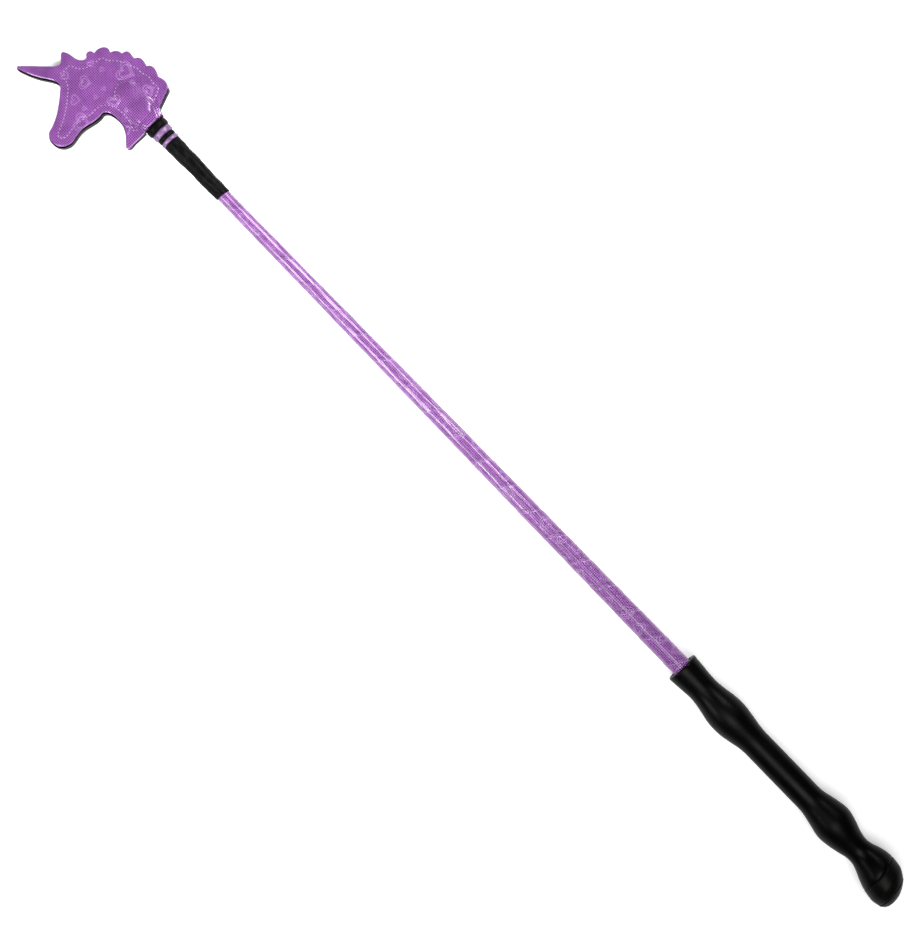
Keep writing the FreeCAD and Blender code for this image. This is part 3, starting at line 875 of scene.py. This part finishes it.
def heart_outline(u, v, width, turn):
    """The outline of a heart."""
    t = np.linspace(0, math.tau, 33)
    x = np.sin(t) ** 3
    y = (13 * np.cos(t) - 5 * np.cos(2 * t) - 2 * np.cos(3 * t) - np.cos(4 * t)) / 16 + 0.1
    x, y = x * width / 2, y * width / 2
    c, s = math.cos(math.radians(turn)), math.sin(math.radians(turn))
    return np.stack([u + x * c - y * s, v + x * s + y * c], axis=1)


# %% Embossed hearts

# Each heart's place on the face, width and turn in degrees.
HEARTS = [
    (28.5, -8.5, 10.5, -70), (28.5, -8.5, 7.2, -70), (40.0, 11.3, 7.2, -55), (40.0, 11.3, 4.4, -55),
    (12.2, -10.5, 6.6, -20), (12.2, -10.5, 3.6, -20), (20.9, 7.3, 7.4, -120), (20.9, 7.3, 4.6, -120),
    (25.3, 27.5, 9.6, -60), (25.3, 27.5, 6.4, -60), (38.9, -0.1, 2.3, -60), (30.2, 6.2, 2.1, -90),
    (30.1, 12.5, 2.1, -40), (30.0, 21.3, 2.4, -60), (21.8, -7.2, 2.2, -60), (36.8, 21.6, 5.4, -50),
    (4.8, 13.4, 4.6, -100), (50.4, 16.5, 4.4, -80), (13.0, 5.9, 2.2, -60), (45.6, 2.2, 3.6, -110),
]
LINE_HALF_WIDTH = 0.26


def heart_height(points):
    """1 on a heart's line, falling to 0 beside it."""
    height = np.zeros(len(points))
    for heart in HEARTS:
        near = np.hypot(points[:, 0] - heart[0], points[:, 1] - heart[1]) < heart[2]
        line = heart_outline(*heart)
        distance = distance_to_line(points[near], line)
        height[near] = np.maximum(height[near], np.exp(-((distance / LINE_HALF_WIDTH) ** 2)))
    return height


# %% Height of the face
TONGUE_LINE = np.array([(-6.0, 0.25), (20.0, -0.9)])
TONGUE_EDGE, TONGUE_FOOT, TONGUE_RISE = 4.3, 8.0, 1.22
TONGUE_CROWN = 0.45
TIP_OVAL = (18.5, -0.8, 6.6, 5.0)
SEAM_INSET = 4.4
# Each furrow's slope, distance from the middle at the band, and depth.
FURROWS = ((0.42, 4.9, 0.75), (-0.36, -5.1, 0.6), (0.8, 5.4, 0.35), (-0.9, -5.4, 0.35))


def tongue_height(points):
    """The swelling over the tongue, highest over its round end."""
    far = distance_to_line(points, TONGUE_LINE)
    ridge = TONGUE_RISE * (1 - smoothstep(TONGUE_EDGE, TONGUE_FOOT, far))
    u, v, long_half, wide_half = TIP_OVAL
    oval = np.hypot((points[:, 0] - u) / long_half, (points[:, 1] - v) / wide_half)
    crown = TONGUE_CROWN * np.clip(1 - (far / TONGUE_EDGE) ** 2, 0, 1) * smoothstep(-6, 3, points[:, 0])
    return ridge + crown + 0.5 * (1 - smoothstep(0.2, 1.15, oval))


def furrow_height(points):
    """Creases that fan out from the band."""
    u, v = points[:, 0], points[:, 1]
    near_band = 1 - smoothstep(4, 15, u)
    fan = np.zeros(len(points))
    for slope, start, depth in FURROWS:
        fan -= depth * np.exp(-(((v - start - slope * (u + 2.9)) / (0.8 + 0.05 * (u + 3))) ** 2))
    return fan * near_band


def seam_height(points, rim):
    """The dip along the seam, and the slight swell inside it."""
    return 0.30 * smoothstep(4.6, 8.5, rim) - 0.26 * np.exp(-(((rim - SEAM_INSET) / 0.75) ** 2)) + 0.10


def wavy(points, size_mm, height, seed):
    """Soft unevenness."""
    return height * np.array([noise.noise(Vector((p[0] / size_mm, p[1] / size_mm, seed))) for p in points])


def face_height(points):
    """How far the face stands above flat, its hearts alone, and the distance to its rim."""
    rim = distance_to_line(points, outline, closed=True)
    hearts = heart_height(points) * smoothstep(0.6, 1.6, rim)
    away_from_band = smoothstep(-3, 4, points[:, 0])
    total = tongue_height(points) + furrow_height(points) + seam_height(points, rim) * away_from_band
    total += wavy(points, 9.0, 0.22, 3.1) + wavy(points, 3.2, 0.07, 7.7)
    return total, hearts, rim


# %% Shaping the layers
HEART_RISE, RIM_ROLL = 0.16, 0.95
FACE_RIM_DROP, PAD_RIM_DROP, LINING_RIM_DROP = 0.30, 0.01, -0.40
LAYER_SHARP = 45


def squeezed(points):
    """Narrows the root so that it runs into the band, and leads it in a little."""
    u, v = points[:, 0].copy(), points[:, 1].copy()
    at_root = (1 - smoothstep(-2.9, 2.0, u)) * (np.abs(v) < 6.6)
    v *= 1 - 0.13 * at_root
    u -= 1.3 * (1 - smoothstep(-2.95, -2.2, u)) * (np.abs(points[:, 1]) < 6.45)
    return np.stack([u, v], axis=1)


def shape_layer(layer, low, high, heights, rim_drop, slip):
    """Moves a layer's points to their heights, rounds its rim and notes each point's place on the sheet."""
    flat = (points_of(layer) - np.array(HINGE)) / MM
    level = (flat[:, 2] - low) / (high - low)
    lift, pressed, rim = heights(flat[:, :2])
    outward = level if rim_drop > 0 else 1 - level
    rolled = np.clip(1 - rim / RIM_ROLL, 0, 1) ** 2 * abs(rim_drop) * outward
    shaped = flat.copy()
    shaped[:, :2] = squeezed(flat[:, :2])
    shaped[:, :2] += np.outer(smoothstep(-2, 4, flat[:, 0]), slip)
    shaped[:, 2] += lift + HEART_RISE * pressed * level - math.copysign(1, rim_drop) * rolled
    carried = layer.data.attributes.new("sheet_place", "FLOAT_VECTOR", "POINT")
    carried.data.foreach_set("vector", (flat * MM).ravel())
    lines = layer.data.attributes.new("heart_lines", "FLOAT", "POINT")
    lines.data.foreach_set("value", pressed * level)
    move_points(layer, shaped * MM + np.array(HINGE))


def drooped(piece):
    """Lets a level piece hang as the flapper does at rest."""
    edit(piece)
    bpy.ops.transform.rotate(value=-DROOP, orient_axis="Y", center_override=HINGE)
    close_up(piece, LAYER_SHARP)


def pad_height(points):
    """The filler stays flat and has no hearts."""
    rim = distance_to_line(points, outline, closed=True)
    return 0 * rim, 0 * rim, rim


def lining_height(points):
    """The backing dips at the seam too, and waves a little."""
    rim = distance_to_line(points, outline, closed=True)
    dip = 0.22 * np.exp(-(((rim - SEAM_INSET) / 0.9) ** 2)) - 0.10
    return dip + wavy(points, 11.0, 0.12, 5.3), 0 * rim, rim


FACE_SLIP, UNDER_SLIP = (0.34, -0.34), (-0.32, 0.32)
shape_layer(face, FACE_LOW, FACE_HIGH, face_height, FACE_RIM_DROP, FACE_SLIP)
shape_layer(pad, BACK_HIGH, FACE_LOW, pad_height, PAD_RIM_DROP, UNDER_SLIP)
shape_layer(lining, BACK_LOW, BACK_HIGH, lining_height, LINING_RIM_DROP, UNDER_SLIP)

# %% [markdown]
# ## The layers at the hinge
#
# The flapper has no metal hinge: the leather itself bends in front of the band.  Here the three layers get
# their finishes and are turned whole about the hinge, to hang as the flapper does at rest.

# %% Finishing the layers
face.data.materials.append(embossed_cloth("face_cloth", "sheet_place", "heart_lines"))
lining.data.materials.append(black_leather("lining_leather", 0.6, "sheet_place", 0.42))
pad.data.materials.append(black_leather("edge_paint", 0.9, "sheet_place", 0.36))
for layer, node_name, slot in (
    (face, "flapper_front", "embossed_leather"), (pad, "flapper_filler", "leatherboard"),
    (lining, "flapper_back", "black_leather"),
):
    drooped(layer)
    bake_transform(layer)
    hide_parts(node_name)
bpy.data.objects.remove(die)

# %% [markdown]
# ## Stitches
#
# The seam is a lockstitch in thick lilac thread.  The CAD's stitches show where it runs.  One stitch is
# modelled with care, two plies twisted together and sinking at both ends, and copied along that line at the
# thread's own pitch: on the face, and for the edge seam underneath too.  Its height follows the leather.

# %% One stitch
STITCH_LONG, STITCH_WIDE, STITCH_TALL = 1.25, 0.50, 0.42
STITCH_PITCH, SEAM_GAP = 2.05, 4.6
PLY_DEPTH, PLY_TWIST = 0.16, 5.0
STITCH_SINK, BLUNTEST = 0.22, 1.6

nothing_selected()
bpy.ops.mesh.primitive_uv_sphere_add(
    segments=12, ring_count=8, radius=0.5 * MM, rotation=(0, math.pi / 2, 0),
)
stitch = bpy.context.object
settle()
ball = points_of(stitch) / MM
turned = np.arctan2(ball[:, 2], ball[:, 1])
plies = 1 + PLY_DEPTH * np.cos(2 * (turned - ball[:, 0] * PLY_TWIST))
from_middle = 2 * ball[:, 0]
blunt = np.sqrt(np.clip(1 - from_middle**4, 0.02, 1))
full = np.minimum(blunt / np.sqrt(np.clip(1 - from_middle**2, 0.02, 1)), BLUNTEST)
ball[:, 1] *= plies * full * STITCH_WIDE
ball[:, 2] *= plies * full * STITCH_TALL
ball[:, 2] -= STITCH_SINK * from_middle**4
ball[:, 0] *= STITCH_LONG
move_points(stitch, ball * MM)
bpy.ops.object.shade_smooth()
print("stitch", len(stitch.data.polygons), "faces")

# %% Sewing
STITCH_CLEAR = 0.02


def stitch_places(node_name):
    """Centre and direction of each stitch of a CAD node, level with the sheet, in millimetres."""
    copy = bpy.data.objects.new("stitches", bpy.data.objects[node_name].data.copy())
    bpy.context.scene.collection.objects.link(copy)
    edit(copy)
    bpy.ops.mesh.remove_doubles(threshold=JOIN_MM * MM)
    bpy.ops.transform.rotate(value=DROOP, orient_axis="Y", center_override=HINGE)
    bpy.ops.mesh.separate(type="LOOSE")
    bpy.ops.object.mode_set(mode="OBJECT")
    result = []
    for island in list(bpy.context.selected_objects):
        flat = (points_of(island) - np.array(HINGE))[:, :2] / MM
        middle = (flat.max(axis=0) + flat.min(axis=0)) / 2
        _, _, axes = np.linalg.svd(flat - flat.mean(axis=0))
        result.append((*middle, math.atan2(axes[0][1], axes[0][0])))
        bpy.data.objects.remove(island)
    return result


def respaced(places):
    """Follows the seam from stitch to stitch and places stitches along it at the thread's own pitch."""
    left = [np.array(place[:2]) for place in places]
    ends = [sum(np.hypot(*(a - b)) < SEAM_GAP for b in left) for a in left]
    result = []
    while left:
        lonely = min(range(len(left)), key=lambda i: ends[i])
        ends.pop(lonely)
        run = [left.pop(lonely)]
        while left:
            gaps = [np.hypot(*(run[-1] - other)) for other in left]
            nearest = int(np.argmin(gaps))
            if gaps[nearest] > SEAM_GAP:
                break
            ends.pop(nearest)
            run.append(left.pop(nearest))
        line = np.array(run)
        steps = np.hypot(*np.diff(line, axis=0).T)
        length = np.concatenate([[0], np.cumsum(steps)])
        stops = np.linspace(0, length[-1], max(2, round(length[-1] / STITCH_PITCH) + 1))
        u, v = np.interp(stops, length, line[:, 0]), np.interp(stops, length, line[:, 1])
        turns_here = np.arctan2(np.gradient(v), np.gradient(u))
        result += list(zip(u, v, turns_here))
    return result


def sew(name, node_name, material, undersides):
    """Copies the stitch along a CAD node's seam and joins the copies into one piece."""
    places = respaced(stitch_places(node_name))
    middles = np.array(places)[:, :2]
    top = FACE_HIGH + face_height(middles)[0] + STITCH_CLEAR
    under = BACK_LOW + lining_height(middles)[0] - STITCH_CLEAR
    copies = []
    for (u, v, turn), high, low in zip(places, top, under):
        for height, flip in ((high, 0), (low, math.pi))[: 2 if undersides else 1]:
            copy = bpy.data.objects.new(name, stitch.data.copy())
            bpy.context.scene.collection.objects.link(copy)
            copy.location = HINGE + Vector((u, v, height)) * MM
            copy.rotation_euler = (flip, 0, turn)
            copies.append(copy)
    nothing_selected()
    for copy in copies:
        copy.select_set(True)
    bpy.context.view_layer.objects.active = copies[0]
    bpy.ops.object.join()
    seam = bpy.context.object
    seam.name = name
    settle()
    seam.data.materials.append(material)
    edit(seam)
    bpy.ops.transform.rotate(value=-DROOP, orient_axis="Y", center_override=HINGE)
    bpy.ops.object.mode_set(mode="OBJECT")
    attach(seam, FLAPPER)
    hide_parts(node_name)
    print(name, len(places), "stitches", len(seam.data.polygons), "faces")


thread = finish("lilac_thread", Roughness=0.55, Sheen_Weight=0.3, Specular_IOR_Level=0.35)
thread_place = own_place(thread)
fibres = cloudy(thread, stretched(thread, thread_place, (1, 1, 2.5)), 0.35, 4.0)
into_shader(thread, "Base Color", blended(thread, spread(thread, fibres, 0.35, 0.65, 0, 1),
                                          (0.34, 0.24, 0.40), (0.48, 0.38, 0.53)))
into_shader(thread, "Normal", bumped(thread, fibres, 0.05))
sew("seam_thread", "edge_stitching", thread, undersides=True)
sew("arch_thread", "arch_stitching", thread, undersides=False)
bpy.data.objects.remove(stitch)

# %% [markdown]
# ## Parts that keep their CAD shape
#
# The bands, the rings, the badge and everything inside the crop already have the right shape, and only need
# a finish.  The inner parts show in a section or an exploded view: a glass-fibre rod, foam padding, plastic
# plugs, a steel screw, whipping thread, and the tongue and leather tails that hold the flapper.

# %% Remaining finishes


def plain_stuff(name, colour, other, size_mm, roughness, depth_mm, **settings):
    """A finish of two close colours in soft spots, with a matching bump."""
    material = finish(name, **settings)
    place = own_place(material)
    spots = cloudy(material, place, size_mm, 4.0)
    mixed = blended(material, spread(material, spots, 0.35, 0.65, 0, 1), colour, other)
    into_shader(material, "Base Color", mixed)
    polish = spread(material, spots, 0.3, 0.7, roughness - 0.06, roughness + 0.06)
    into_shader(material, "Roughness", polish)
    into_shader(material, "Normal", bumped(material, spots, depth_mm))
    return material


KEPT = {
    "root_band": leather, "middle_band": leather,
    "leather_tail_upper": leather, "leather_tail_lower": leather,
    "trim_ring_front": ring_foil, "trim_ring_rear": ring_foil,
    "end_badge": plain_stuff("badge_plastic", (0.004, 0.004, 0.005), (0.012, 0.012, 0.014), 0.8, 0.28, 0.02),
    "grip_core": plain_stuff("hard_plastic", (0.30, 0.30, 0.31), (0.38, 0.38, 0.39), 2.0, 0.42, 0.02),
    "cap_screw": plain_stuff("screw_steel", (0.42, 0.41, 0.40), (0.60, 0.59, 0.57), 1.2, 0.28, 0.02,
                             Metallic=1.0),
    "core_rod": plain_stuff("glass_fibre", (0.72, 0.70, 0.58), (0.82, 0.80, 0.70), 0.6, 0.38, 0.03),
    "padding_sleeve": plain_stuff("padding_foam", (0.62, 0.60, 0.57), (0.75, 0.73, 0.70), 0.5, 0.85, 0.15),
    "whipping_thread": plain_stuff("black_thread", (0.010, 0.010, 0.011), (0.03, 0.03, 0.032), 0.4, 0.6, 0.1),
    "tongue_core": plain_stuff("leatherboard", (0.16, 0.09, 0.05), (0.24, 0.15, 0.09), 0.7, 0.75, 0.08),
}
KEPT["front_bush"] = KEPT["rear_plug"] = KEPT["grip_core"]
for node_name, material in KEPT.items():
    for slot in bpy.data.objects[node_name].material_slots:
        slot.material = material
print(len(KEPT), "CAD parts finished")
